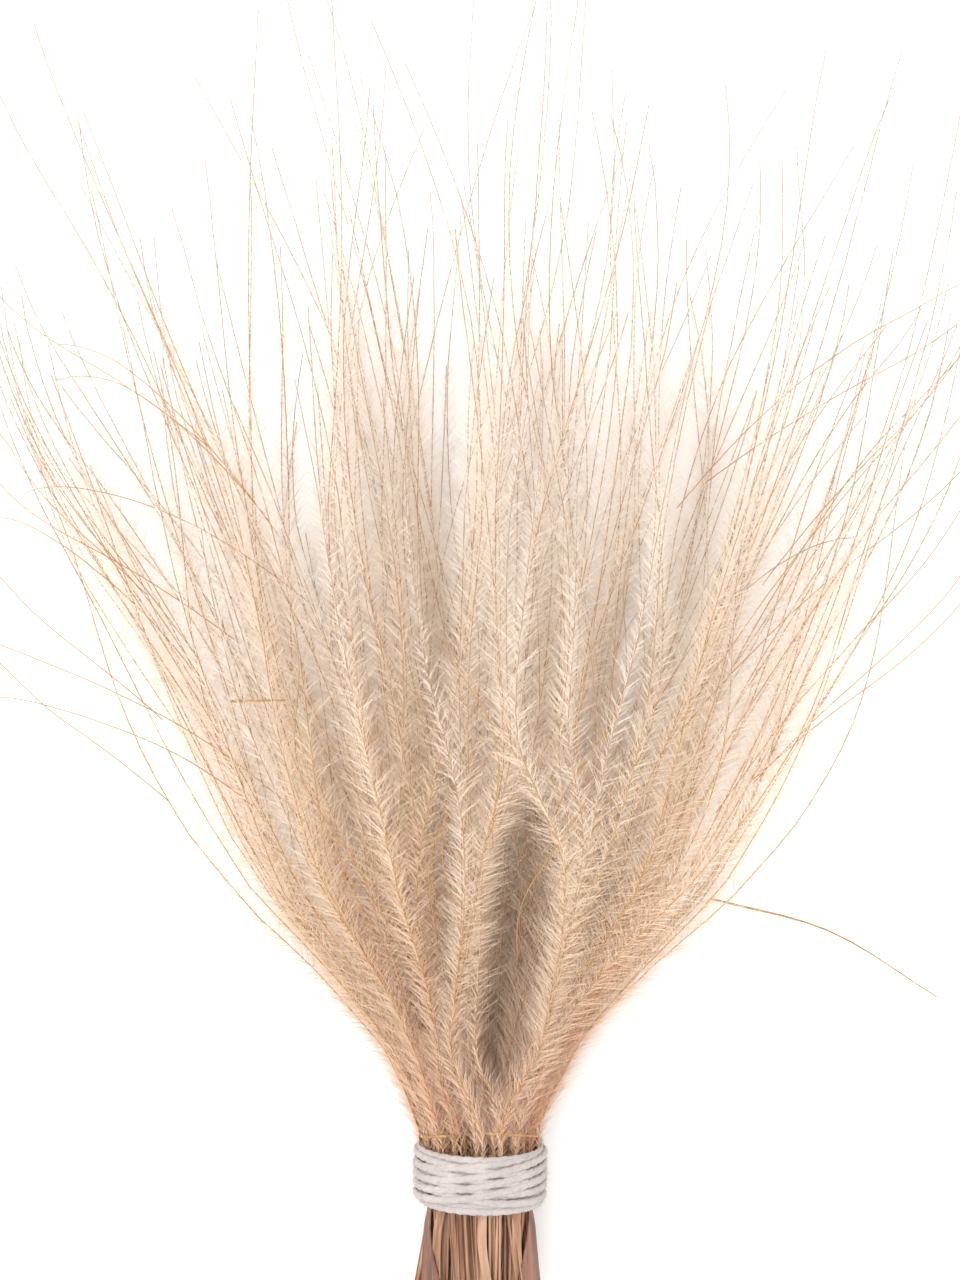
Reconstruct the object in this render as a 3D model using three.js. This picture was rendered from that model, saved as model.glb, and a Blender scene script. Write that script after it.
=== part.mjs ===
// A bundle of dried feather grass, lying on a surface.
//
// Millimetres, +Z up. The bundle lies along Y: its cut ends point to -Y and its plumes to +Y.
// Thirty-seven flowering stems pass through a band of cotton yarn. Past the band each stem opens
// into a soft plume of feathery awns, and together they spread into a wide, flattened fan.
import * as THREE from 'three';

const TIE_OUTER_RADIUS = 10.7;
const TIE_INNER_RADIUS = 9.35;
const TIE_WIDTH = 10.4;
const TIE_TURNS = 7;

const STEM_RINGS = [1, 6, 12, 18];
const STEM_RING_PITCH = 2.4;
const STEM_RADIUS = 1.0;
const PLUME_RADIUS = 4.1;
const STEM_SIDES = 8;

const CUT_END_Y = -27;
const TIP_Y_MIDDLE = 196;
const TIP_Y_EDGE = 158;

const FAN_HALF_WIDTH = 68;
const FAN_HALF_HEIGHT = 30;
const FLAT_UNDERSIDE = 0.72;
const SWAY = 3;
const SWAY_PITCH = 27;

const STRAY_RADIUS = 0.22;
const STRAW_BIT_RADIUS = 0.26;

const BUNDLE_RADIUS = STEM_RING_PITCH * (STEM_RINGS.length - 1);

const straw = new THREE.MeshStandardMaterial({ name: 'dried_awn', color: 0xe6cdb2, roughness: 0.85, metalness: 0 });
const husk = new THREE.MeshStandardMaterial({ name: 'brown_sheath', color: 0x8f6047, roughness: 0.6, metalness: 0 });
const cotton = new THREE.MeshStandardMaterial({ name: 'cotton_yarn', color: 0xe8e2df, roughness: 0.9, metalness: 0 });
const golden = new THREE.MeshStandardMaterial({ name: 'golden_straw', color: 0xb98a4e, roughness: 0.5, metalness: 0 });

const smooth = (from, to, y) => THREE.MathUtils.smoothstep(y, from, to);

// Half-width and half-height of the bundle, measured to the middle of its outermost stems. The
// stems run straight through the band, flare out quickly past it, then open slowly to the tips.
// Behind the band the cut ends spread a little.
function halfWidth(y) {
  const quickFlare = 21 * smooth(6, 52, y);
  const slowFlare = (FAN_HALF_WIDTH - 21 - BUNDLE_RADIUS) * smooth(8, 168, y);
  const cutEndFlare = 1.6 * (1 - smooth(CUT_END_Y, -4, y));
  return BUNDLE_RADIUS + quickFlare + slowFlare + cutEndFlare;
}

function halfHeight(y) {
  const quickFlare = 10 * smooth(6, 60, y);
  const slowFlare = (FAN_HALF_HEIGHT - 10 - BUNDLE_RADIUS) * smooth(20, 168, y);
  const cutEndFlare = 0.9 * (1 - smooth(CUT_END_Y, -4, y));
  return BUNDLE_RADIUS + quickFlare + slowFlare + cutEndFlare;
}

// Radius of one stem with its awns. It fills the room that the spreading bundle gives it, up to
// the reach of the hairs, and keeps clear of its slanting neighbours where the flare is quick.
function plumeRadius(y) {
  const room = STEM_RADIUS * halfHeight(Math.max(y, 0)) / BUNDLE_RADIUS;
  const slantClearance = 1 - 0.12 * smooth(4, 30, y);
  return Math.min(room * slantClearance, PLUME_RADIUS);
}

// Height of the bundle's middle. The band rests on the surface, and the plumes sag until the
// lowest ones lie on it too.
function middleHeight(y) {
  const hangingUnderside = TIE_OUTER_RADIUS - BUNDLE_RADIUS - STEM_RADIUS;
  const underside = hangingUnderside * (1 - smooth(8, 70, y)) + 0.02;
  const flare = y > 0 ? halfHeight(y) + plumeRadius(y) : BUNDLE_RADIUS + STEM_RADIUS;
  return underside + flare;
}

// How high a stem stands in the bundle's section, from -1 to 1. The section is round in the band.
// Out in the fan its underside lies flat on the surface, so the lower stems are pressed down.
function heightShare(angle, y) {
  const round = Math.sin(angle);
  if (round >= 0) return round;
  const pressed = Math.max(round / FLAT_UNDERSIDE, -1);
  return THREE.MathUtils.lerp(round, pressed, smooth(10, 60, y));
}

// A place in the bundle: angle around it, and how far out, as a share of its half-width.
function bundlePoint(angle, share, y, lift = 0) {
  const x = Math.cos(angle) * (share * halfWidth(y) + lift);
  const z = middleHeight(y) + heightShare(angle, y) * (share * halfHeight(y) + lift);
  return new THREE.Vector3(x, y, z);
}

// Lays a straight solid of revolution, which stands on +Y from 0 to 1, along a curve.
function layAlong(geometry, curve) {
  const position = geometry.attributes.position;
  const point = new THREE.Vector3();
  const side = new THREE.Vector3();
  const up = new THREE.Vector3(0, 0, 1);
  const lifted = new THREE.Vector3();
  for (let i = 0; i < position.count; i += 1) {
    const t = THREE.MathUtils.clamp(position.getY(i), 0, 1);
    curve.getPoint(t, point);
    const tangent = curve.getTangent(t);
    side.crossVectors(tangent, up).normalize();
    lifted.crossVectors(side, tangent);
    point.addScaledVector(side, position.getX(i)).addScaledVector(lifted, position.getZ(i));
    position.setXYZ(i, point.x, point.y, point.z);
  }
  return geometry;
}

// Where a plume's sections stand along Y, closer together where the bundle bends fastest. All the
// stems share them, so that neighbours bend alike. The last few follow each stem's own length.
const SHARED_SECTIONS = [CUT_END_Y, -5, 5, 13, 20, 28, 37, 48, 62, 80, 102, 126];
const TAPER_LENGTH = 62;

// One flowering stem with its plume: a straw through the band, swelling to the reach of the awn
// hairs and drawn in to a point at the tips. Out in the fan it sways a little from side to side.
function plumeStem(angle, share, tipY, swayPhase) {
  const length = tipY - CUT_END_Y;
  const lastShared = SHARED_SECTIONS.at(-1);
  const ownSections = [0.4, 0.75, 1].map((part) => THREE.MathUtils.lerp(lastShared, tipY, part));
  const sections = [...SHARED_SECTIONS, ...ownSections];
  const curve = new THREE.Curve();
  curve.getPoint = (t, target = new THREE.Vector3()) => {
    const y = CUT_END_Y + t * length;
    target.copy(bundlePoint(angle, share, y));
    target.x += SWAY * smooth(35, 120, y) * Math.sin(y / SWAY_PITCH + swayPhase);
    return target;
  };
  const profile = [new THREE.Vector2(0, 0)];
  for (const y of sections) {
    const pointed = 1 - 0.8 * smooth(tipY - TAPER_LENGTH, tipY, y);
    profile.push(new THREE.Vector2(plumeRadius(y) * pointed, (y - CUT_END_Y) / length));
  }
  profile.push(new THREE.Vector2(0, 1));
  return layAlong(new THREE.LatheGeometry(profile, STEM_SIDES), curve);
}

const bundle = new THREE.Group();

function addPiece(name, geometry, material) {
  const piece = new THREE.Mesh(geometry, material);
  piece.name = name;
  bundle.add(piece);
  return piece;
}

// Stems in rings, as they pack in the hand: one in the middle, then 6, 12 and 18 around it. The
// middle ones are the longest.
let stemNumber = 0;
STEM_RINGS.forEach((count, ring) => {
  for (let k = 0; k < count; k += 1) {
    stemNumber += 1;
    const share = ring / (STEM_RINGS.length - 1);
    const angle = k * 2 * Math.PI / count + ring * 0.41;
    const lengthStep = 9 * Math.sin(stemNumber * 2.4);
    const tipY = THREE.MathUtils.lerp(TIP_Y_MIDDLE, TIP_Y_EDGE, share) - 9 + lengthStep;
    const name = `plume_stem_${String(stemNumber).padStart(2, '0')}`;
    addPiece(name, plumeStem(angle, share, tipY, stemNumber * 1.9), straw.clone());
  }
});

// The band: seven turns of soft yarn wound tight round the stems, a little fuller in the middle.
function yarnBand() {
  const profile = [new THREE.Vector2(TIE_INNER_RADIUS, TIE_WIDTH / 2)];
  profile.push(new THREE.Vector2(TIE_INNER_RADIUS, -TIE_WIDTH / 2));
  const pitch = TIE_WIDTH / TIE_TURNS;
  const strand = TIE_OUTER_RADIUS - TIE_INNER_RADIUS;
  for (let turn = 0; turn < TIE_TURNS; turn += 1) {
    const start = -TIE_WIDTH / 2 + turn * pitch;
    for (const part of [0.05, 0.5, 0.95]) {
      const fullness = 0.72 + 0.28 * Math.sin(Math.PI * part);
      profile.push(new THREE.Vector2(TIE_INNER_RADIUS + strand * fullness, start + part * pitch));
    }
  }
  profile.push(profile[0].clone());
  return new THREE.LatheGeometry(profile, 32);
}
addPiece('tie_yarn', yarnBand(), cotton).position.z = TIE_OUTER_RADIUS;

// Brown leaf sheaths that still wrap the outside of the stems behind the band: thin strips of a
// cylinder wall that narrow to a point, flaring with the cut ends.
const SHEATH_GAP = 0.3;
const SHEATH_THICKNESS = 0.5;
const SHEATH_START_Y = -(TIE_WIDTH / 2 + 0.3);
function leafSheath(angle, halfAngle, length) {
  const stations = 6;
  const across = 4;
  const outline = [];
  for (let k = 0; k <= across; k += 1) outline.push([k / across, 1]);
  for (let k = across; k >= 0; k -= 1) outline.push([k / across, 0]);
  const outlineShape = new THREE.Shape(outline.map(([u, w]) => new THREE.Vector2(u, w)));
  const geometry = new THREE.ExtrudeGeometry(outlineShape, { depth: 1, steps: stations, bevelEnabled: false });
  const position = geometry.attributes.position;
  for (let i = 0; i < position.count; i += 1) {
    const along = position.getZ(i);
    const y = SHEATH_START_Y - along * length;
    const taper = 1 - 0.55 * along * along;
    const around = angle - (position.getX(i) * 2 - 1) * halfAngle * taper;
    const lift = STEM_RADIUS + SHEATH_GAP + position.getY(i) * SHEATH_THICKNESS;
    const point = bundlePoint(around, 1, y, lift);
    position.setXYZ(i, point.x, point.y, point.z);
  }
  return geometry;
}
const SHEATHS = [
  [-0.15, 0.3, 21], [0.75, 0.22, 17], [1.55, 0.2, 14],
  [2.45, 0.24, 19], [3.3, 0.32, 21], [4.7, 0.28, 18],
];
SHEATHS.forEach(([angle, halfAngle, length], k) => {
  addPiece(`leaf_sheath_${k + 1}`, leafSheath(angle, halfAngle, length), husk.clone());
});

// A slender solid of revolution from one point to another, sagging or rising between them.
function strawPiece(points, radius, steps) {
  const curve = new THREE.CatmullRomCurve3(points);
  const profile = [new THREE.Vector2(0, 0)];
  for (let k = 0; k <= steps; k += 1) {
    const t = k / steps;
    profile.push(new THREE.Vector2(radius * (1 - 0.5 * t), t));
  }
  profile.push(new THREE.Vector2(0, 1));
  return layAlong(new THREE.LatheGeometry(profile, 6), curve);
}

// One awn that has slipped out of the fan on the right and curves down towards the surface.
const strayRoot = bundlePoint(-0.1, 1, 44, PLUME_RADIUS + 0.8);
const strayTip = new THREE.Vector3(FAN_HALF_WIDTH + 6, 27, 7);
const strayBend = strayRoot.clone().lerp(strayTip, 0.5).add(new THREE.Vector3(0, 3.2, 2));
addPiece('stray_awn', strawPiece([strayRoot, strayBend, strayTip], STRAY_RADIUS, 10), golden.clone());

// Short broken bits of straw caught on top of the bundle: angle around it, place along it, length
// and the direction they point.
const STRAW_BITS = [[2.2, 7.2, 6, 0.05], [1.08, 7.6, 9, -0.06], [2.3, 76, 8, 0.02]];
STRAW_BITS.forEach(([angle, y, length, turn], k) => {
  const middle = bundlePoint(angle, 1, y, plumeRadius(y) + 1.9);
  const half = new THREE.Vector3(Math.cos(turn), Math.sin(turn), 0).multiplyScalar(length / 2);
  const ends = [middle.clone().sub(half), middle, middle.clone().add(half)];
  addPiece(`straw_bit_${k + 1}`, strawPiece(ends, STRAW_BIT_RADIUS, 2), golden.clone());
});

// The origin is on the surface, below the middle of the whole bundle.
bundle.updateMatrixWorld(true);
const box = new THREE.Box3().setFromObject(bundle, true);
const centre = box.getCenter(new THREE.Vector3());
bundle.position.set(-centre.x, -centre.y, -box.min.z);

export default bundle;
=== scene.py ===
import math
import random

import bmesh
import bpy
import numpy as np
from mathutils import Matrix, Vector


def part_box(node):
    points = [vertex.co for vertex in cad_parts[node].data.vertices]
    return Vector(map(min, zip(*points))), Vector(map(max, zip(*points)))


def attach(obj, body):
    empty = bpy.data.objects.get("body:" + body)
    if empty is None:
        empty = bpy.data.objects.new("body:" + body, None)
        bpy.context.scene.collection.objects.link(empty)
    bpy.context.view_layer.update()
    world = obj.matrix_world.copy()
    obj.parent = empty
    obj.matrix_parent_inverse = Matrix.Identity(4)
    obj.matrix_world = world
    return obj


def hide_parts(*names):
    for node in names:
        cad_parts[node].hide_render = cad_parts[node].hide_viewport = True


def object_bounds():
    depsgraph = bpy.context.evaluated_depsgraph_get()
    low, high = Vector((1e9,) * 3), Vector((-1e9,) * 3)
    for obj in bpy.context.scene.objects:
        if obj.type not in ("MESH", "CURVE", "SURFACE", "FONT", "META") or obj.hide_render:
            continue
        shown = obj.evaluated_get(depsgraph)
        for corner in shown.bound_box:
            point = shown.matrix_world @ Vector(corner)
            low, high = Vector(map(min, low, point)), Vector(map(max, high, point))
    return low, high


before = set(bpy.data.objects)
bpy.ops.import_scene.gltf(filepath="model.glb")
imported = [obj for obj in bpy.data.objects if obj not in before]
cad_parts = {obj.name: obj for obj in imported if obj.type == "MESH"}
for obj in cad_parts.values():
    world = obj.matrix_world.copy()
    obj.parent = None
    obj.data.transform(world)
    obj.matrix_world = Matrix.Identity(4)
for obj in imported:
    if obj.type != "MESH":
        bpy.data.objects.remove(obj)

cad_bounds = [list(corner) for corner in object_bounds()]
MM = 0.001

# ---- Stage, light and camera -------------------------------------------------------------------
# The bundle lies on a plain white table under one soft overhead light, and the camera looks
# straight down on it, with the tied end towards the bottom of the view.
tie_low, tie_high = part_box("tie_yarn")
tie_middle = (tie_low + tie_high) / 2

CAMERA_ABOVE_TIE = 350 * MM
VIEW_HEIGHT = 205 * MM
VIEW_CENTRE_PAST_TIE = 84.8 * MM
SENSOR_HEIGHT_MM = 36

camera_data = bpy.data.cameras.new("overhead_camera")
camera_data.sensor_width = SENSOR_HEIGHT_MM
camera_data.lens = SENSOR_HEIGHT_MM * CAMERA_ABOVE_TIE / VIEW_HEIGHT
camera_data.clip_start = 10 * MM
camera_data.clip_end = 20
camera = bpy.data.objects.new("overhead_camera", camera_data)
camera.location = (
    tie_middle.x,
    tie_middle.y + VIEW_CENTRE_PAST_TIE,
    tie_middle.z + CAMERA_ABOVE_TIE,
)
bpy.context.scene.collection.objects.link(camera)
bpy.context.scene.camera = camera

TABLE_HALF_SIDE = 4
table_mesh = bpy.data.meshes.new("white_table")
table_corners = [(-1, -1), (1, -1), (1, 1), (-1, 1)]
table_mesh.from_pydata(
    [(x * TABLE_HALF_SIDE, y * TABLE_HALF_SIDE, 0) for x, y in table_corners], [], [(0, 1, 2, 3)]
)
table = bpy.data.objects.new("white_table", table_mesh)
bpy.context.scene.collection.objects.link(table)
table_paint = bpy.data.materials.new("table_paint")
table_paint.use_nodes = True
table_shader = table_paint.node_tree.nodes["Principled BSDF"]
table_shader.inputs["Base Color"].default_value = (0.93, 0.93, 0.93, 1)
table_shader.inputs["Roughness"].default_value = 0.9
table_shader.inputs["Specular IOR Level"].default_value = 0.1
table_mesh.materials.append(table_paint)

sky = bpy.data.worlds.new("soft_room")
sky.use_nodes = True
sky.node_tree.nodes["Background"].inputs["Color"].default_value = (1, 0.99, 0.975, 1)
sky.node_tree.nodes["Background"].inputs["Strength"].default_value = 1.52
bpy.context.scene.world = sky
bpy.context.scene.view_settings.view_transform = "Standard"
bpy.context.scene.view_settings.look = "None"


def soft_light(name, place, size, power):
    lamp_data = bpy.data.lights.new(name, "AREA")
    lamp_data.shape = "DISK"
    lamp_data.size = size
    lamp_data.energy = power
    lamp = bpy.data.objects.new(name, lamp_data)
    lamp.location = place
    aim = Vector((0, 0, 0.02)) - Vector(place)
    lamp.rotation_euler = aim.to_track_quat("-Z", "Y").to_euler()
    bpy.context.scene.collection.objects.link(lamp)


soft_light("overhead_light", (-0.35, 0.25, 1.1), 0.9, 5.5)



# ---- Flowering stems and their awns ------------------------------------------------------------
# Each stem is a thin dry straw that passes through the band and carries six long awns. An awn is
# a golden bristle with silky hairs 4 to 8 mm long all along it. The hairs thin out towards its tip.
AWNS_PER_STEM = 6
FAN_HALF_WIDTH = (Vector(cad_bounds[1]) - Vector(cad_bounds[0])).x / 2
UV_BANDS = 8
SHAFT_BAND = 6
STRAW_BAND = 7

STRAWS_PER_STEM = 4
STRAW_POINTS = 9
STRAW_HALF_WIDTH = 0.66 * MM
STRAW_HALF_DEPTH = 0.4 * MM
STRAW_WALL = 0.16 * MM

AWN_ROOT_BEFORE_EDGE = 2.5 * MM
AWN_POINTS = 30
HAIR_REACH = 7.0 * MM
HAIR_RADIUS = 0.05 * MM
HAIR_SPACING = 0.225 * MM
SHAFT_RADIUS = 0.095 * MM
SURFACE_SOFTNESS = 0.8 * MM
FREE_HALF_WIDTH = 62 * MM
MOST_HALF_WIDTH = 81 * MM
ROOT_FULLNESS = 0.16
PARTING_REACH = 6 * MM
PARTING_PUSH = 5.5 * MM


def smooth(low, high, value):
    share = np.clip((value - low) / (high - low), 0, 1)
    return share * share * (3 - 2 * share)


class NodeMaker:
    """Adds nodes to a tree in a row and sets their inputs by name."""

    def __init__(self, tree):
        self.tree = tree
        self.count = 0

    def add(self, kind, settings=None, **inputs):
        node = self.tree.nodes.new(kind)
        node.location = (180 * self.count, 0)
        self.count += 1
        for name, value in (settings or {}).items():
            setattr(node, name, value)
        for name, value in inputs.items():
            socket = self.socket(node, name)
            if isinstance(value, bpy.types.NodeSocket):
                self.tree.links.new(value, socket)
            else:
                socket.default_value = value
        return node

    @staticmethod
    def socket(node, name):
        if name[0] == "i" and name[1:].isdigit():
            return node.inputs[int(name[1:])]
        for socket in node.inputs:
            if socket.enabled and socket.name.replace(" ", "_") == name:
                return socket
        raise KeyError(f"{node.bl_idname} has no input {name}: {[s.name for s in node.inputs]}")

    def math(self, operation, a, b=0.0, c=0.0):
        node = self.add("ShaderNodeMath", {"operation": operation}, i0=a, i1=b, i2=c)
        return node.outputs[0]

    def vector(self, operation, a, b=(0, 0, 0)):
        node = self.add("ShaderNodeVectorMath", {"operation": operation}, i0=a, i1=b)
        return node.outputs[0]

    def scaled(self, vector, factor):
        node = self.add("ShaderNodeVectorMath", {"operation": "SCALE"}, Vector=vector)
        socket = node.inputs["Scale"]
        if isinstance(factor, bpy.types.NodeSocket):
            self.tree.links.new(factor, socket)
        else:
            socket.default_value = factor
        return node.outputs[0]


class GeometryMaker(NodeMaker):
    def __init__(self, name, sizes):
        tree = bpy.data.node_groups.new(name, "GeometryNodeTree")
        super().__init__(tree)
        tree.interface.new_socket("Geometry", in_out="INPUT", socket_type="NodeSocketGeometry")
        for size_name, (socket_type, value) in sizes.items():
            size = tree.interface.new_socket(size_name, in_out="INPUT", socket_type=socket_type)
            if value is not None:
                size.default_value = value
        tree.interface.new_socket("Geometry", in_out="OUTPUT", socket_type="NodeSocketGeometry")
        self.given = self.add("NodeGroupInput").outputs
        self.result = self.add("NodeGroupOutput").inputs[0]

    def named(self, name, data_type="FLOAT"):
        return self.add(
            "GeometryNodeInputNamedAttribute", {"data_type": data_type}, Name=name
        ).outputs[0]

    def store(self, geometry, name, value, data_type="FLOAT", domain="POINT"):
        node = self.add(
            "GeometryNodeStoreNamedAttribute",
            {"data_type": data_type, "domain": domain},
            Geometry=geometry,
            Name=name,
            Value=value,
        )
        return node.outputs[0]

    def store_map(self, geometry, across, up):
        place = self.add("ShaderNodeCombineXYZ", X=across, Y=up).outputs[0]
        return self.store(geometry, "OFBake", place, "FLOAT2", "CORNER")

    def random_float(self, low, high, seed):
        node = self.add(
            "FunctionNodeRandomValue", {"data_type": "FLOAT"}, Min=low, Max=high, Seed=seed
        )
        return next(socket for socket in node.outputs if socket.enabled)


def grown(source, tree, name, **sizes):
    """Runs a geometry tree on a source mesh and returns the result as a plain mesh object."""
    modifier = source.modifiers.new(name, "NODES")
    modifier.node_group = tree
    identifiers = {
        item.name: item.identifier
        for item in tree.interface.items_tree
        if item.item_type == "SOCKET" and item.in_out == "INPUT"
    }
    for size_name, value in sizes.items():
        modifier[identifiers[size_name.replace("_", " ")]] = value
    graph = bpy.context.evaluated_depsgraph_get()
    graph.update()
    mesh = bpy.data.meshes.new_from_object(source.evaluated_get(graph))
    mesh.name = name
    old_mesh = source.data
    bpy.data.objects.remove(source)
    bpy.data.meshes.remove(old_mesh)
    piece = bpy.data.objects.new(name, mesh)
    bpy.context.scene.collection.objects.link(piece)
    return piece


def awn_tree(shaft, straw):
    maker = GeometryMaker(
        "silky_awns",
        {
            "Hair material": ("NodeSocketMaterial", None),
            "Shaft material": ("NodeSocketMaterial", shaft),
            "Straw material": ("NodeSocketMaterial", straw),
            "Straw section": ("NodeSocketObject", None),
            "Hair radius": ("NodeSocketFloat", HAIR_RADIUS),
            "Hair spacing": ("NodeSocketFloat", HAIR_SPACING),
            "Shaft radius": ("NodeSocketFloat", SHAFT_RADIUS),
            "Seed": ("NodeSocketInt", 0),
        },
    )
    given = maker.given
    along = maker.named("along")
    awn = maker.named("awn")
    is_straw = maker.math("GREATER_THAN", maker.named("straw"), 0.5)
    kinds = maker.add("GeometryNodeSeparateGeometry", {"domain": "POINT"},
                      Geometry=given["Geometry"], Selection=is_straw)
    awns = maker.add("GeometryNodeMeshToCurve", Mesh=kinds.outputs["Inverted"]).outputs[0]

    # The straw and its leaf strips: a curled section, open along one side, swept along each.
    straws = maker.add("GeometryNodeMeshToCurve", Mesh=kinds.outputs["Selection"]).outputs[0]
    straws = maker.add("GeometryNodeSetCurveRadius", Curve=straws,
                       Radius=maker.named("girth")).outputs[0]
    straws = maker.add("GeometryNodeSetCurveTilt", Curve=straws, Tilt=maker.named("lean")).outputs[0]
    section = maker.add("GeometryNodeObjectInfo", {"transform_space": "ORIGINAL"},
                        Object=given["Straw section"]).outputs["Geometry"]
    section = maker.add("GeometryNodeMeshToCurve", Mesh=section).outputs[0]
    around = maker.add("GeometryNodeSplineParameter").outputs["Factor"]
    section = maker.store(section, "around", around)
    straws = maker.add("GeometryNodeCurveToMesh", Curve=straws, Profile_Curve=section,
                       Fill_Caps=True).outputs[0]
    third = maker.math("MULTIPLY_ADD", along, 0.9, maker.math("ADD", awn, 0.05))
    height = maker.math("MULTIPLY_ADD", maker.named("around"), 0.8, STRAW_BAND + 0.1)
    straws = maker.store_map(straws, maker.math("DIVIDE", third, STRAWS_PER_STEM),
                             maker.math("DIVIDE", height, UV_BANDS))
    straws = maker.add("GeometryNodeSetMaterial", Geometry=straws,
                       Material=given["Straw material"])

    # The bristle: a three-sided rod that tapers along the awn.
    rod = maker.add("GeometryNodeSetCurveRadius", Curve=awns, Radius=maker.named("girth")).outputs[0]
    ring = maker.add(
        "GeometryNodeCurvePrimitiveCircle", {"mode": "RADIUS"}, Resolution=3,
        Radius=given["Shaft radius"],
    ).outputs[0]
    around = maker.add("GeometryNodeSplineParameter").outputs["Factor"]
    ring = maker.store(ring, "around", around)
    rod = maker.add("GeometryNodeCurveToMesh", Curve=rod, Profile_Curve=ring, Fill_Caps=True)
    around = maker.named("around")
    height = maker.math("DIVIDE", maker.math("MULTIPLY_ADD", around, 0.8, SHAFT_BAND + 0.1), UV_BANDS)
    rod = maker.store_map(rod.outputs[0], along, height)
    rod = maker.add("GeometryNodeSetMaterial", Geometry=rod, Material=given["Shaft material"])

    # The hairs: needles that lean forward off the bristle, all round it.
    roots = maker.add("GeometryNodeCurveToPoints", {"mode": "LENGTH"}, Curve=awns,
                      Length=given["Hair spacing"])
    forward = roots.outputs["Tangent"]
    side = roots.outputs["Normal"]
    up = maker.vector("CROSS_PRODUCT", forward, side)
    turn = maker.random_float(0.0, 2 * math.pi, given["Seed"])
    lean_noise = maker.random_float(-0.26, 0.26, maker.math("ADD", given["Seed"], 1.0))
    lean = maker.math("ADD", maker.named("lean"), lean_noise)
    outward = maker.vector(
        "ADD",
        maker.scaled(side, maker.math("COSINE", turn)),
        maker.scaled(up, maker.math("SINE", turn)),
    )
    direction = maker.vector(
        "ADD",
        maker.scaled(forward, maker.math("COSINE", lean)),
        maker.scaled(outward, maker.math("SINE", lean)),
    )
    facing = maker.add("FunctionNodeAlignRotationToVector", {"axis": "Z"}, Vector=direction)
    length_noise = maker.random_float(0.55, 1.12, maker.math("ADD", given["Seed"], 2.0))
    reach = maker.math("MULTIPLY", maker.named("reach"), length_noise)
    size = maker.add("ShaderNodeCombineXYZ", X=given["Hair radius"], Y=given["Hair radius"],
                     Z=reach).outputs[0]
    too_short = maker.math("LESS_THAN", maker.named("reach"), 0.5 * MM)
    kept = maker.add("GeometryNodeDeleteGeometry", {"domain": "POINT"},
                     Geometry=roots.outputs["Points"], Selection=too_short).outputs[0]
    needle = maker.add("GeometryNodeMeshCone", {"fill_type": "NGON"}, Vertices=3, Radius_Top=0.0,
                       Radius_Bottom=1.0, Depth=1.0).outputs["Mesh"]
    place = maker.add("ShaderNodeSeparateXYZ", Vector=maker.add("GeometryNodeInputPosition").outputs[0])
    needle = maker.store(needle, "tipward", place.outputs["Z"])
    needle = maker.store(needle, "sideways", place.outputs["X"])
    hairs = maker.add("GeometryNodeInstanceOnPoints", Points=kept, Instance=needle,
                      Rotation=facing.outputs[0], Scale=size).outputs[0]
    hairs = maker.add("GeometryNodeRealizeInstances", Geometry=hairs).outputs[0]
    across = maker.math("MULTIPLY_ADD", maker.named("sideways"), 0.003, along)
    band = maker.math("MULTIPLY_ADD", maker.named("tipward"), 0.8, 0.1)
    height = maker.math("DIVIDE", maker.math("ADD", band, awn), UV_BANDS)
    hairs = maker.store_map(hairs, across, height)
    hairs = maker.add("GeometryNodeSetMaterial", Geometry=hairs, Material=given["Hair material"])

    joined = maker.add("GeometryNodeJoinGeometry")
    maker.tree.links.new(rod.outputs[0], joined.inputs[0])
    maker.tree.links.new(hairs.outputs[0], joined.inputs[0])
    maker.tree.links.new(straws.outputs[0], joined.inputs[0])
    maker.tree.links.new(joined.outputs[0], maker.result)
    return maker.tree


def dry_plant_material(name):
    material = bpy.data.materials.new(name)
    material.use_nodes = True
    material.node_tree.nodes.clear()
    return material, NodeMaker(material.node_tree)


def awn_place_group():
    """Where a point is on its awn: along it, from a hair's root to its tip, and the awn's own tint."""
    tree = bpy.data.node_groups.new("place_on_awn", "ShaderNodeTree")
    for name in ("Along", "Rootward to tip", "Own tint"):
        tree.interface.new_socket(name, in_out="OUTPUT", socket_type="NodeSocketFloat")
    maker = NodeMaker(tree)
    spot = maker.add("ShaderNodeUVMap", {"uv_map": "OFBake"}).outputs[0]
    parts = maker.add("ShaderNodeSeparateXYZ", Vector=spot)
    bands = maker.math("MULTIPLY", parts.outputs["Y"], UV_BANDS)
    number = maker.math("FLOOR", bands)
    share = maker.math("FRACT", bands)
    tint_noise = maker.add("ShaderNodeTexWhiteNoise", {"noise_dimensions": "1D"}, W=number)
    results = maker.add("NodeGroupOutput")
    tree.links.new(parts.outputs["X"], results.inputs["Along"])
    tree.links.new(share, results.inputs["Rootward to tip"])
    tree.links.new(tint_noise.outputs["Value"], results.inputs["Own tint"])
    return tree


place_on_awn = awn_place_group()


def colour_ramp(maker, factor, stops):
    ramp = maker.add("ShaderNodeValToRGB", Fac=factor)
    elements = ramp.color_ramp.elements
    while len(elements) < len(stops):
        elements.new(0.5)
    for element, (position, colour) in zip(elements, stops):
        element.position = position
        element.color = (*colour, 1)
    return ramp.outputs["Color"]


def mixed(maker, factor, first, second, blend="MIX"):
    node = maker.add("ShaderNodeMix", {"data_type": "RGBA", "blend_type": blend})
    sockets = [socket for socket in node.inputs if socket.enabled]
    for socket, value in zip(sockets, (factor, first, second)):
        if isinstance(value, bpy.types.NodeSocket):
            maker.tree.links.new(value, socket)
        else:
            socket.default_value = value
    return next(socket for socket in node.outputs if socket.enabled)


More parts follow.
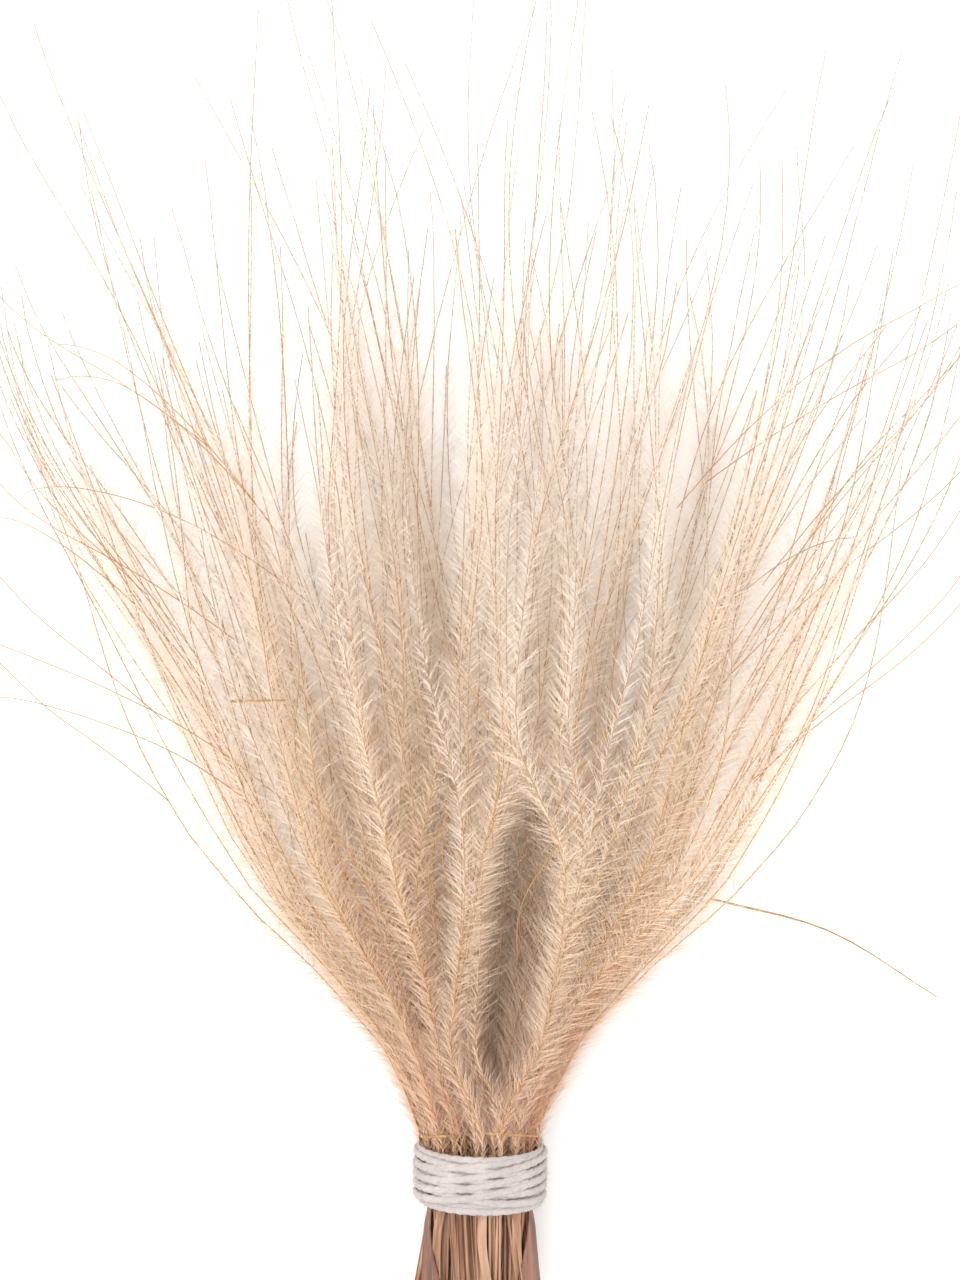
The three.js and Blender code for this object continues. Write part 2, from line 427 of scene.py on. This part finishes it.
def translucent_finish(maker, colour, roughness, through, see_through):
    shader = maker.add("ShaderNodeBsdfPrincipled", None, Base_Color=colour, Roughness=roughness)
    shader.inputs["Specular IOR Level"].default_value = 0
    behind = maker.add("ShaderNodeBsdfTranslucent", None, Color=through)
    blend = maker.add("ShaderNodeMixShader", None, i0=see_through, i1=shader.outputs[0],
                      i2=behind.outputs[0])
    surface = maker.add("ShaderNodeOutputMaterial")
    maker.tree.links.new(blend.outputs[0], surface.inputs["Surface"])


def hair_material(name, colours):
    material, maker = dry_plant_material(name)
    place = maker.add("ShaderNodeGroup", {"node_tree": place_on_awn})
    along = place.outputs["Along"]
    # The ramp darkens and warms the hairs towards the band. This is partly their own colour and partly
    # painted shade of the dense core there. Each hair is also paler towards its own tip.
    base = colour_ramp(maker, along, list(zip((0.0, 0.2, 0.45, 0.8), colours)))
    pale = mixed(maker, place.outputs["Rootward to tip"], base, (0.97, 0.94, 0.90, 1))
    pale = mixed(maker, 0.45, base, pale)
    tint = colour_ramp(maker, place.outputs["Own tint"], [
        (0.0, (0.95, 0.90, 0.83)),
        (1.0, (1.0, 1.0, 1.0)),
    ])
    colour = mixed(maker, 1.0, pale, tint, "MULTIPLY")
    translucent_finish(maker, colour, 0.6, colour, 0.3)
    return material


def shaft_material():
    material, maker = dry_plant_material("golden_bristle")
    place = maker.add("ShaderNodeGroup", {"node_tree": place_on_awn})
    colour = colour_ramp(maker, place.outputs["Along"], [
        (0.0, (0.42, 0.22, 0.09)),
        (0.35, (0.50, 0.28, 0.10)),
        (0.65, (0.42, 0.25, 0.13)),
        (1.0, (0.45, 0.33, 0.26)),
    ])
    shader = maker.add("ShaderNodeBsdfPrincipled", None, Base_Color=colour, Roughness=0.45)
    surface = maker.add("ShaderNodeOutputMaterial")
    maker.tree.links.new(shader.outputs[0], surface.inputs["Surface"])
    return material


def straw_material(name, dark, middle, light):
    """Dry straw: fibre streaks along the stem, and a tint that changes from strip to strip."""
    material, maker = dry_plant_material(name)
    spot = maker.add("ShaderNodeTexCoord").outputs["Object"]
    drawn_out = maker.add("ShaderNodeMapping", None, Vector=spot, Scale=(2600, 90, 2600)).outputs[0]
    fibres = maker.add("ShaderNodeTexNoise", None, Vector=drawn_out, Scale=1.0, Detail=4.0,
                       Roughness=0.65).outputs[0]
    strips = maker.add("ShaderNodeMapping", None, Vector=spot, Scale=(520, 16, 520)).outputs[0]
    tint = maker.add("ShaderNodeTexNoise", None, Vector=strips, Scale=1.0, Detail=1.0).outputs[0]
    tone = maker.math("MULTIPLY_ADD", fibres, 0.55, maker.math("MULTIPLY", tint, 0.75))
    colour = colour_ramp(maker, tone, [(0.42, dark), (0.62, middle), (0.84, light)])
    bump = maker.add("ShaderNodeBump", None, Strength=0.35, Distance=0.05 * MM, Height=fibres)
    shader = maker.add("ShaderNodeBsdfPrincipled", None, Base_Color=colour,
                       Roughness=maker.math("MULTIPLY_ADD", fibres, 0.35, 0.3),
                       Normal=bump.outputs[0])
    surface = maker.add("ShaderNodeOutputMaterial")
    maker.tree.links.new(shader.outputs[0], surface.inputs["Surface"])
    return material


def curled_section():
    """The straw's section: a flattened ring with a wall, open along one side."""
    outside = []
    inside = []
    for k in range(9):
        turn = math.radians(-145 + 290 * k / 8)
        wide, deep = math.sin(turn), math.cos(turn)
        outside.append((STRAW_HALF_WIDTH * wide, STRAW_HALF_DEPTH * deep, 0))
        inner_width = STRAW_HALF_WIDTH - STRAW_WALL
        inner_depth = STRAW_HALF_DEPTH - STRAW_WALL
        inside.append((inner_width * wide, inner_depth * deep, 0))
    outline = outside + inside[::-1]
    edges = [(k, (k + 1) % len(outline)) for k in range(len(outline))]
    mesh = bpy.data.meshes.new("curled_section")
    mesh.from_pydata(outline, edges, [])
    return bpy.data.objects.new("curled_section", mesh)


def straw_line(route, chance, number):
    """One straw or leaf strip of a stem, from inside the band to its cut end."""
    cut_end = route[0, 1] + chance.uniform(-0.3, 2.2) * MM
    y = np.linspace(tie_high.y - 1.2 * MM, cut_end, STRAW_POINTS)
    behind = (tie_low.y - y) / (22 * MM)
    x, z = route_at(route, y)
    turn = 2 * math.pi * number / STRAWS_PER_STEM + chance.uniform(-0.5, 0.5)
    offset = 0.62 * MM
    slant = chance.gauss(0, 1.6) * MM - 0.22 * (route[0, 0] - tie_middle.x) * chance.choice((0, 1, 2))
    x = x + offset * math.cos(turn) + slant * np.maximum(behind, 0)
    z = z + offset * math.sin(turn) + chance.gauss(0, 0.5) * MM * np.maximum(behind, 0)
    z = z + 0.25 * MM * np.sin(behind * 3 + turn)
    return np.stack([x, y, np.maximum(z, 0.9 * MM)], 1)


def section_middle(node, y):
    """The middle of a CAD stem where the plane at y cuts it."""
    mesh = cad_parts[node].data
    points = np.array([vertex.co for vertex in mesh.vertices])
    edges = np.array([edge.vertices for edge in mesh.edges])
    first, second = points[edges[:, 0]], points[edges[:, 1]]
    crossing = (first[:, 1] - y) * (second[:, 1] - y) < 0
    first, second = first[crossing], second[crossing]
    share = (y - first[:, 1]) / (second[:, 1] - first[:, 1])
    return (first + share[:, None] * (second - first)).mean(0)


def stem_route(node, stations=16):
    """Middle points of a CAD stem from its cut end to its tip."""
    low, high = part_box(node)
    margin = 0.5 * MM
    heights = np.linspace(low.y + margin, high.y - margin, stations)
    return np.array([section_middle(node, y) for y in heights])


def route_at(route, heights):
    x = np.interp(heights, route[:, 1], route[:, 0])
    z = np.interp(heights, route[:, 1], route[:, 2])
    beyond = heights - route[-1, 1]
    slope = (route[-1] - route[-3]) / (route[-1, 1] - route[-3, 1])
    past = np.maximum(beyond, 0)
    return x + slope[0] * past, z + slope[2] * past


def pressed(heights):
    """Lifts what would sink into the table, as soft hairs flatten on it."""
    squashed = SURFACE_SOFTNESS * np.exp(np.minimum(heights / SURFACE_SOFTNESS - 1, 0))
    return np.where(heights > SURFACE_SOFTNESS, heights, squashed)


def held_in(offset, free, most):
    """Leaves offsets up to free alone and eases larger ones towards most."""
    size = np.abs(offset)
    room = most - free
    eased = free + room * (1 - np.exp(-np.maximum(size - free, 0) / room))
    return np.sign(offset) * np.where(size > free, eased, size)


def parted(x, y, z):
    """The upper awns part along a slanting line over the band, so that the dark middle shows."""
    past = y - tie_high.y
    line = tie_middle.x - 0.5 * MM + 0.17 * past
    window = smooth(2 * MM, 18 * MM, past) * (1 - smooth(46 * MM, 68 * MM, past))
    upper = smooth(0.9 * tie_middle.z, 1.7 * tie_middle.z, z - 0.16 * past)
    side = 1 if np.sum((x - line) * window) >= 0 else -1
    distance = np.maximum(side * (x - line), 0)
    near = np.exp(-(distance / PARTING_REACH) ** 2)
    return x + side * PARTING_PUSH * near * window * upper


def awn_line(route, chance):
    """One awn: it leaves the band with its stem, wanders off to one side and bends on its own."""
    start = tie_high.y - AWN_ROOT_BEFORE_EDGE
    tip = route[-1, 1] + chance.uniform(-40, 8) * MM
    y = np.linspace(start, tip, AWN_POINTS)
    past = (y - start) / (170 * MM)
    x, z = route_at(route, y)
    sideways_share = (route[-1, 0] - tie_middle.x) / FAN_HALF_WIDTH
    root_turn = chance.uniform(0, 2 * math.pi)
    root_offset = chance.uniform(0.3, 1.5) * MM
    fullness = 1 + ROOT_FULLNESS * (1 - smooth(4 * MM, 30 * MM, y - tie_high.y))
    x = tie_middle.x + (x - tie_middle.x) * fullness + root_offset * math.cos(root_turn)
    z = tie_middle.z + (z - tie_middle.z) * fullness + root_offset * math.sin(root_turn)
    drift = chance.uniform(0, 2 * math.pi)
    spread = chance.uniform(2, 11) * MM * smooth(0.03, 0.5, past)
    x = x + spread * math.cos(drift)
    z = z + 0.7 * spread * math.sin(drift)
    x = x + chance.gauss(0, 19) * MM * past ** 2
    z = z + chance.uniform(-5, 8) * MM * past ** 2
    arch = chance.gauss(0, 4.5) * MM * smooth(0.08, 0.45, past)
    x = x + arch * np.sin(math.pi * 1.5 * past + chance.uniform(0, 2 * math.pi))
    strays = abs(sideways_share) > 0.55 and chance.random() < 0.3
    flare = chance.uniform(10, 26) if strays else chance.uniform(0, 8)
    x = x + sideways_share * flare * MM * smooth(0.18, 0.95, past)
    wave = chance.uniform(0, 2 * math.pi)
    x = x + 1.1 * MM * smooth(0.1, 0.5, past) * np.sin(y / (16 * MM) + wave)
    z = z + 0.9 * MM * smooth(0.1, 0.5, past) * np.cos(y / (19 * MM) + wave)
    if strays:
        y = y - chance.uniform(10, 45) * MM * smooth(0.35, 1.1, past) ** 2
    x = tie_middle.x + held_in(x - tie_middle.x, FREE_HALF_WIDTH, MOST_HALF_WIDTH)
    x = parted(x, y, z)
    return np.stack([x, y, pressed(z)], 1)


def polyline_object(name, lines, attributes):
    """A mesh of separate open lines, with one value per point for each named attribute."""
    points = np.concatenate(lines)
    edges = []
    first = 0
    for line in lines:
        edges += [(first + k, first + k + 1) for k in range(len(line) - 1)]
        first += len(line)
    mesh = bpy.data.meshes.new(name)
    mesh.from_pydata(points.tolist(), edges, [])
    for attribute, values in attributes.items():
        stored = mesh.attributes.new(attribute, "FLOAT", "POINT")
        stored.data.foreach_set("value", np.concatenate(values).astype(np.float32))
    source = bpy.data.objects.new(name, mesh)
    bpy.context.scene.collection.objects.link(source)
    return source


HELPERS = (
    "along", "awn", "girth", "reach", "lean", "straw", "around", "tipward", "sideways", "run",
)


def drop_helpers(piece):
    """Removes the working attributes and presses the hairs that reach the table flat on it."""
    mesh = piece.data
    for name in HELPERS:
        if name in mesh.attributes:
            mesh.attributes.remove(mesh.attributes[name])
    places = np.empty(3 * len(mesh.vertices))
    mesh.vertices.foreach_get("co", places)
    places[2::3] = pressed(places[2::3])
    mesh.vertices.foreach_set("co", places)
    mesh.update()


# Colours along each awn, from the band to its tip. The darker, warmer colours near the band are partly
# the hairs' own colour and partly painted shade of the dense core round the band. Which of the three a
# stem gets is chosen at random.
HAIR_COLOURS_WITH_PAINTED_SHADE = {
    "cream_hair": [(0.90, 0.66, 0.49), (0.93, 0.78, 0.63), (0.94, 0.84, 0.73), (0.92, 0.87, 0.83)],
    "peach_hair": [(0.87, 0.58, 0.40), (0.92, 0.72, 0.54), (0.93, 0.80, 0.66), (0.91, 0.85, 0.80)],
    "rusty_hair": [(0.74, 0.40, 0.24), (0.88, 0.62, 0.43), (0.92, 0.76, 0.60), (0.90, 0.83, 0.77)],
}
hair_materials_with_painted_shade = [hair_material(name, colours) for name, colours in HAIR_COLOURS_WITH_PAINTED_SHADE.items()]
golden_bristle = shaft_material()
dry_straw = straw_material("dry_straw", (0.12, 0.045, 0.022), (0.32, 0.155, 0.085), (0.54, 0.35, 0.23))
silky_awns = awn_tree(golden_bristle, dry_straw)
straw_section = curled_section()
stem_nodes = sorted(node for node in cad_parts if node.startswith("plume_stem"))


def plume_source(node, chance):
    """The lines that one stem's awns and straws follow, with their sizes point by point."""
    route = stem_route(node)
    lines = []
    values = {name: [] for name in ("along", "awn", "girth", "reach", "lean", "straw")}

    def add(line, **given):
        lines.append(line)
        given["along"] = np.linspace(0, 1, len(line))
        for name, stored in values.items():
            stored.append(np.broadcast_to(np.float32(given[name]), len(line)))

    for k in range(AWNS_PER_STEM):
        line = awn_line(route, chance)
        share = np.linspace(0, 1, AWN_POINTS)
        past_edge = line[:, 1] - tie_high.y
        full = smooth(0, 26 * MM, past_edge) * 0.25 + 0.75
        last_hairs = chance.uniform(0.95, 1.25)
        thinning = 1 - 0.9 * smooth(last_hairs - 0.5, last_hairs, share)
        add(
            line,
            awn=k,
            girth=1.15 - 0.95 * share,
            reach=HAIR_REACH * full * thinning * (past_edge > -1.5 * MM),
            lean=math.radians(34) + math.radians(14) * smooth(0, 45 * MM, past_edge),
            straw=0,
        )
    for k in range(STRAWS_PER_STEM):
        line = straw_line(route, chance, k)
        outward_turn = math.atan2(route[2, 2] - tie_middle.z, route[2, 0] - tie_middle.x)
        add(line, awn=k, girth=chance.uniform(0.8, 1.5), reach=0,
            lean=outward_turn - math.pi / 2 + chance.uniform(-0.6, 0.6), straw=1)
    return polyline_object(node + "_lines", lines, values)


for number, node in enumerate(stem_nodes):
    chance = random.Random(100 + number)
    source = plume_source(node, chance)
    tint = chance.choices(hair_materials_with_painted_shade, weights=(5, 4, 1))[0]
    piece = grown(source, silky_awns, "plume_" + node[-2:], Seed=number, Hair_material=tint,
                  Straw_section=straw_section)
    drop_helpers(piece)
    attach(piece, "root")
    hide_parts(node)


# ---- The band of yarn --------------------------------------------------------------------------
# Soft white cotton yarn wound tight round the stems: a row of level turns, then more turns over
# them that slant both ways and cross at the front. Its first end lies under the turns over it, and its
# last end stops on top.
YARN_HALF_WIDTH = 0.6 * MM
YARN_HALF_THICKNESS = 0.4 * MM
YARN_LOWER_TURNS = 8
YARN_UPPER_TURNS = 8
YARN_STEP = 0.42 * MM
YARN_SIDES = 12
PLY_DEPTH = 0.07 * MM
PLY_PITCH = 1.9 * MM
YARN_SLANT = 3.0 * MM
FRONT = math.pi / 2
FIBRES_PER_SQUARE_METRE = 2.6e6
YARN_ROOM_IN_CAD = 1.35 * MM
band_inner_radius = (tie_high.z - tie_low.z) / 2 - YARN_ROOM_IN_CAD
band_half_width = (tie_high.y - tie_low.y) / 2


def yarn_line():
    lower_radius = band_inner_radius + YARN_HALF_THICKNESS
    upper_radius = lower_radius + 0.55 * MM
    steps = int(2 * math.pi * upper_radius / YARN_STEP)
    places = []
    for k in range(YARN_LOWER_TURNS * steps):
        turns = k / steps
        share = turns / YARN_LOWER_TURNS
        across = (2 * share - 1) * (band_half_width - YARN_HALF_WIDTH)
        across += 0.12 * MM * math.sin(3.1 * turns)
        places.append((2 * math.pi * turns, across, lower_radius))
    for k in range(YARN_UPPER_TURNS * steps):
        turns = k / steps
        share = turns / YARN_UPPER_TURNS
        angle = 2 * math.pi * turns
        half_turn = (angle - FRONT + math.pi) / 2
        ease = min(1, turns * 2)
        across = (1 - 2 * share) * (band_half_width - YARN_HALF_WIDTH - YARN_SLANT / 2)
        across += ease * YARN_SLANT * 0.5 * math.tanh(2.2 * math.cos(half_turn))
        radius = lower_radius + (upper_radius - lower_radius) * ease
        places.append((angle, across, radius + 0.1 * MM * math.sin(half_turn) * ease))
    angle, across, radius = np.array(places).T
    line = np.stack([
        tie_middle.x + radius * np.cos(angle),
        tie_middle.y + across,
        tie_middle.z + radius * np.sin(angle),
    ], 1)
    return line


def yarn_tree(cotton):
    maker = GeometryMaker("plied_yarn", {
        "Cotton": ("NodeSocketMaterial", cotton),
        "Half width": ("NodeSocketFloat", YARN_HALF_WIDTH),
        "Flatness": ("NodeSocketFloat", YARN_HALF_THICKNESS / YARN_HALF_WIDTH),
        "Ply depth": ("NodeSocketFloat", PLY_DEPTH),
        "Ply pitch": ("NodeSocketFloat", PLY_PITCH),
        "Fibres": ("NodeSocketFloat", FIBRES_PER_SQUARE_METRE),
        "Axis": ("NodeSocketVector", (0, 0, 0)),
    })
    given = maker.given
    yarn = maker.add("GeometryNodeMeshToCurve", Mesh=given["Geometry"]).outputs[0]
    place = maker.add("GeometryNodeInputPosition").outputs[0]
    from_axis = maker.vector("SUBTRACT", place, given["Axis"])
    outward = maker.vector("NORMALIZE", maker.vector("MULTIPLY", from_axis, (1, 0, 1)))
    yarn = maker.add("GeometryNodeSetCurveNormal", {"mode": "FREE"}, Curve=yarn,
                     Normal=outward).outputs[0]
    spline = maker.add("GeometryNodeSplineParameter")
    yarn = maker.store(yarn, "run", spline.outputs["Length"])
    ring = maker.add("GeometryNodeCurvePrimitiveCircle", {"mode": "RADIUS"},
                     Resolution=YARN_SIDES, Radius=given["Half width"]).outputs[0]
    factor = maker.add("GeometryNodeSplineParameter").outputs["Factor"]
    ring = maker.store(ring, "around", factor)
    squash = maker.add("ShaderNodeCombineXYZ", X=given["Flatness"], Y=1.0, Z=1.0).outputs[0]
    ring = maker.add("GeometryNodeTransform", Geometry=ring, Scale=squash).outputs[0]
    body = maker.add("GeometryNodeCurveToMesh", Curve=yarn, Profile_Curve=ring,
                     Fill_Caps=True).outputs[0]
    turns = maker.math("DIVIDE", maker.named("run"), given["Ply pitch"])
    phase = maker.math("MULTIPLY_ADD", maker.named("around"), 2.0, turns)
    ridge = maker.math("SINE", maker.math("MULTIPLY", phase, 2 * math.pi))
    normal = maker.add("GeometryNodeInputNormal").outputs[0]
    push = maker.scaled(normal, maker.math("MULTIPLY", ridge, given["Ply depth"]))
    body = maker.add("GeometryNodeSetPosition", Geometry=body, Offset=push).outputs[0]

    # Loose cotton fibres that stand off the yarn.
    roots = maker.add("GeometryNodeDistributePointsOnFaces", {"distribute_method": "RANDOM"},
                      Mesh=body, Density=given["Fibres"], Seed=5)
    wander = maker.add("FunctionNodeRandomValue", {"data_type": "FLOAT_VECTOR"},
                       i0=(-1.6, -1.6, -1.6), i1=(1.6, 1.6, 1.6))
    direction = maker.vector("ADD", roots.outputs["Normal"], wander.outputs[0])
    facing = maker.add("FunctionNodeAlignRotationToVector", {"axis": "Z"}, Vector=direction)
    fibre = maker.add("GeometryNodeMeshCone", {"fill_type": "NGON"}, Vertices=3,
                      Radius_Top=0.0, Radius_Bottom=0.018 * MM, Depth=0.75 * MM).outputs["Mesh"]
    fibres = maker.add("GeometryNodeInstanceOnPoints", Points=roots.outputs["Points"],
                       Instance=fibre, Rotation=facing.outputs[0]).outputs[0]
    fibres = maker.add("GeometryNodeRealizeInstances", Geometry=fibres).outputs[0]
    joined = maker.add("GeometryNodeJoinGeometry")
    maker.tree.links.new(body, joined.inputs[0])
    maker.tree.links.new(fibres, joined.inputs[0])
    finished = maker.add("GeometryNodeSetMaterial", Geometry=joined.outputs[0],
                         Material=given["Cotton"])
    maker.tree.links.new(finished.outputs[0], maker.result)
    return maker.tree


def cotton_material():
    material, maker = dry_plant_material("white_cotton")
    spot = maker.add("ShaderNodeTexCoord").outputs["Object"]
    fuzz = maker.add("ShaderNodeTexNoise", None, Vector=spot, Scale=2400.0, Detail=3.0).outputs[0]
    soft = maker.add("ShaderNodeTexNoise", None, Vector=spot, Scale=260.0, Detail=2.0).outputs[0]
    tone = maker.math("MULTIPLY_ADD", fuzz, 0.5, maker.math("MULTIPLY", soft, 0.5))
    colour = colour_ramp(maker, tone, [(0.3, (0.39, 0.35, 0.335)), (0.7, (0.53, 0.485, 0.47))])
    bump = maker.add("ShaderNodeBump", None, Strength=0.4, Distance=0.08 * MM, Height=fuzz)
    shader = maker.add("ShaderNodeBsdfPrincipled", None, Base_Color=colour, Roughness=0.95,
                       Normal=bump.outputs[0])
    shader.inputs["Specular IOR Level"].default_value = 0.1
    surface = maker.add("ShaderNodeOutputMaterial")
    maker.tree.links.new(shader.outputs[0], surface.inputs["Surface"])
    return material


yarn_source = polyline_object("yarn_line", [yarn_line()], {})
yarn = grown(yarn_source, yarn_tree(cotton_material()), "cotton_yarn", Axis=tie_middle)
drop_helpers(yarn)
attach(yarn, "root")
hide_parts("tie_yarn")

# ---- Leaf sheaths round the cut ends -----------------------------------------------------------
# Dry leaf bases still wrapped round the outside of the stems: thin, ribbed and curled, wider or
# narrower towards the cut. Two at the sides are dark brown, turned up over the top and wider towards
# the cut, and the others are pale straw.
SHEATH_ROWS = 16
SHEATH_COLUMNS = 12
SHEATH_WALL = 0.28 * MM
RIB_DEPTH = 0.07 * MM
DARK_BROWN_SHEATHS = ("leaf_sheath_1", "leaf_sheath_5")


def sheath_surface(node, chance):
    """A strip of curved wall that follows the CAD strip, with ribs, a curl and a ragged end."""
    corners = np.array([vertex.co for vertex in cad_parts[node].data.vertices])
    axis = np.array([tie_middle.x, tie_middle.z])
    near_band = corners[corners[:, 1] > corners[:, 1].max() - 0.01 * MM]
    far_end = corners[corners[:, 1] < corners[:, 1].min() + 0.01 * MM]
    middle_turn = math.atan2(*(near_band[:, [2, 0]].mean(0) - axis[::-1]))
    near_radius = np.linalg.norm(near_band[:, [0, 2]] - axis, axis=1).mean()
    far_radius = np.linalg.norm(far_end[:, [0, 2]] - axis, axis=1).mean()
    reach = np.linalg.norm(near_band[:, [0, 2]].max(0) - near_band[:, [0, 2]].min(0)) / 2
    half_turn = reach / near_radius
    dark = node in DARK_BROWN_SHEATHS
    closeness = 0.2 * MM if dark else 0.3 * MM
    rise = 0.95 * math.copysign(1, math.cos(middle_turn)) if dark else chance.uniform(-0.12, 0.12)
    rows = []
    for side in (0, 1):
        grid = []
        for row in range(SHEATH_ROWS + 1):
            share = row / SHEATH_ROWS
            width = (0.3 + 1.7 * share) if dark else (0.42 - 0.2 * share ** 2)
            line = []
            for column in range(SHEATH_COLUMNS + 1):
                across = 2 * column / SHEATH_COLUMNS - 1
                rib = RIB_DEPTH * math.cos(across * 5.5 * math.pi)
                curl = 0.5 * MM * abs(across) ** 3 * share
                ragged = 1.3 * MM * chance.random() if row == SHEATH_ROWS and side == 0 else 0
                y = corners[:, 1].max() + 1.2 * MM
                y += share * (corners[:, 1].min() - corners[:, 1].max() - 1.5 * MM) + ragged
                radius = near_radius - 0.45 * MM + share * (far_radius - near_radius)
                radius += smooth(0, 0.2, share) * 0.45 * MM + rib * smooth(0, 0.3, share)
                radius += curl - side * SHEATH_WALL - closeness
                turn = middle_turn + across * half_turn * width + 0.05 * math.sin(5 * share)
                turn += rise * (0.35 + 0.65 * share)
                line.append((
                    tie_middle.x + radius * math.cos(turn),
                    y,
                    tie_middle.z + radius * math.sin(turn),
                ))
            grid.append(line)
        rows.append(grid)
    for column in range(SHEATH_COLUMNS + 1):
        x, _, z = rows[1][-1][column]
        rows[1][-1][column] = (x, rows[0][-1][column][1], z)
    return rows


def sheath_mesh(name, rows):
    points = [place for grid in rows for line in grid for place in line]
    stride = SHEATH_COLUMNS + 1
    layer = stride * (SHEATH_ROWS + 1)
    faces = []
    for row in range(SHEATH_ROWS):
        for column in range(SHEATH_COLUMNS):
            a = row * stride + column
            faces.append((a, a + 1, a + 1 + stride, a + stride))
            faces.append((a + layer, a + stride + layer, a + 1 + stride + layer, a + 1 + layer))
    border = list(range(stride))
    border += [row * stride + SHEATH_COLUMNS for row in range(1, SHEATH_ROWS + 1)]
    border += [SHEATH_ROWS * stride + column for column in range(SHEATH_COLUMNS - 1, -1, -1)]
    border += [row * stride for row in range(SHEATH_ROWS - 1, 0, -1)]
    for k, a in enumerate(border):
        b = border[(k + 1) % len(border)]
        faces.append((a, a + layer, b + layer, b))
    mesh = bpy.data.meshes.new(name)
    mesh.from_pydata(points, [], faces)
    form = bmesh.new()
    form.from_mesh(mesh)
    bmesh.ops.recalc_face_normals(form, faces=form.faces)
    form.to_mesh(mesh)
    form.free()
    mesh.polygons.foreach_set("use_smooth", [True] * len(mesh.polygons))
    return mesh


chestnut_husk = straw_material("chestnut_husk", (0.05, 0.018, 0.010), (0.14, 0.050, 0.028),
                               (0.28, 0.125, 0.070))
pale_leaf = straw_material("pale_leaf", (0.15, 0.06, 0.03), (0.34, 0.17, 0.095), (0.52, 0.33, 0.215))
for number in range(1, 7):
    node = f"leaf_sheath_{number}"
    rows = sheath_surface(node, random.Random(300 + number))
    mesh = sheath_mesh(f"sheath_{number}", rows)
    mesh.materials.append(chestnut_husk if node in DARK_BROWN_SHEATHS else pale_leaf)
    sheath = bpy.data.objects.new(f"sheath_{number}", mesh)
    bpy.context.scene.collection.objects.link(sheath)
    drop_helpers(sheath)
    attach(sheath, "root")
    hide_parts(node)


# ---- Loose awns, stray awn and broken bits -----------------------------------------------------
# Awns that have lost their hairs curl over the top of the plumes and arch away at the sides. One
# has slipped out at the right, and short broken bits of straw lie on the bundle.
LOOSE_AWN_POINTS = 36
CURLED_AWNS = 7
ARCHED_AWNS = 22


def surface_height(x, y):
    """Height of the top of the CAD plumes near a place."""
    nearest = np.argmin((plume_tops[:, 0] - x) ** 2 + (plume_tops[:, 1] - y) ** 2)
    return plume_tops[nearest, 2]


def plume_top_points(cell=6 * MM):
    highest = {}
    for node in stem_nodes:
        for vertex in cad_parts[node].data.vertices:
            key = (round(vertex.co.x / cell), round(vertex.co.y / cell))
            if key not in highest or vertex.co.z > highest[key][2]:
                highest[key] = tuple(vertex.co)
    return np.array(list(highest.values()))


def loose_awn(chance, curled):
    """A bare awn: it climbs with the fan, then either curls back or arches out to the side."""
    side = chance.choice((-1, 1))
    rise = np.linspace(0, 1, LOOSE_AWN_POINTS)
    if curled:
        x = side * (chance.uniform(5, 34) - 13 * (1 - rise)) * MM
        y = tie_high.y + (chance.uniform(30, 52) + 46 * rise) * MM
        wave = chance.uniform(0, 2 * math.pi)
        x = x + 2.6 * MM * np.sin(2 * math.pi * rise * 1.2 + wave)
        lift = 1.5 * MM
    else:
        length = chance.uniform(55, 105) * MM
        tilt = chance.uniform(0.5, 0.95)
        root_x = chance.uniform(22, 50) * MM
        root_y = tie_high.y + chance.uniform(45, 110) * MM
        x = side * (root_x + length * math.sin(tilt) * rise)
        y = root_y + length * math.cos(tilt) * rise - 24 * MM * rise ** 2
        x = side * held_in(np.abs(x), 60 * MM, 80 * MM)
        lift = 0.4 * MM
    x = tie_middle.x + x
    z = np.array([surface_height(*place) for place in zip(x, y)])
    z = np.convolve(np.pad(z, 6, mode="edge"), np.ones(13) / 13, mode="valid")
    return np.stack([x, y, pressed(z + lift)], 1)


plume_tops = plume_top_points()
loose_lines = []
loose_values = {name: [] for name in ("along", "awn", "girth", "reach", "lean", "straw")}
for number in range(CURLED_AWNS + ARCHED_AWNS):
    line = loose_awn(random.Random(700 + number), number < CURLED_AWNS)
    share = np.linspace(0, 1, len(line))
    loose_lines.append(line)
    loose_values["along"].append(share)
    loose_values["girth"].append(1.1 - 0.8 * share)
    for name in ("awn", "reach", "lean", "straw"):
        loose_values[name].append(np.zeros(len(line)))
loose_source = polyline_object("loose_awn_lines", loose_lines, loose_values)
loose_awns = grown(loose_source, silky_awns, "loose_awns", Seed=99, Hair_material=hair_materials_with_painted_shade[0],
                   Straw_section=straw_section)
drop_helpers(loose_awns)
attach(loose_awns, "root")

golden_straw = straw_material("golden_straw_bits", (0.22, 0.10, 0.03), (0.38, 0.20, 0.07),
                              (0.52, 0.31, 0.13))
for node in ("stray_awn", "straw_bit_1", "straw_bit_2", "straw_bit_3"):
    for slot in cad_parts[node].material_slots:
        slot.material = golden_straw
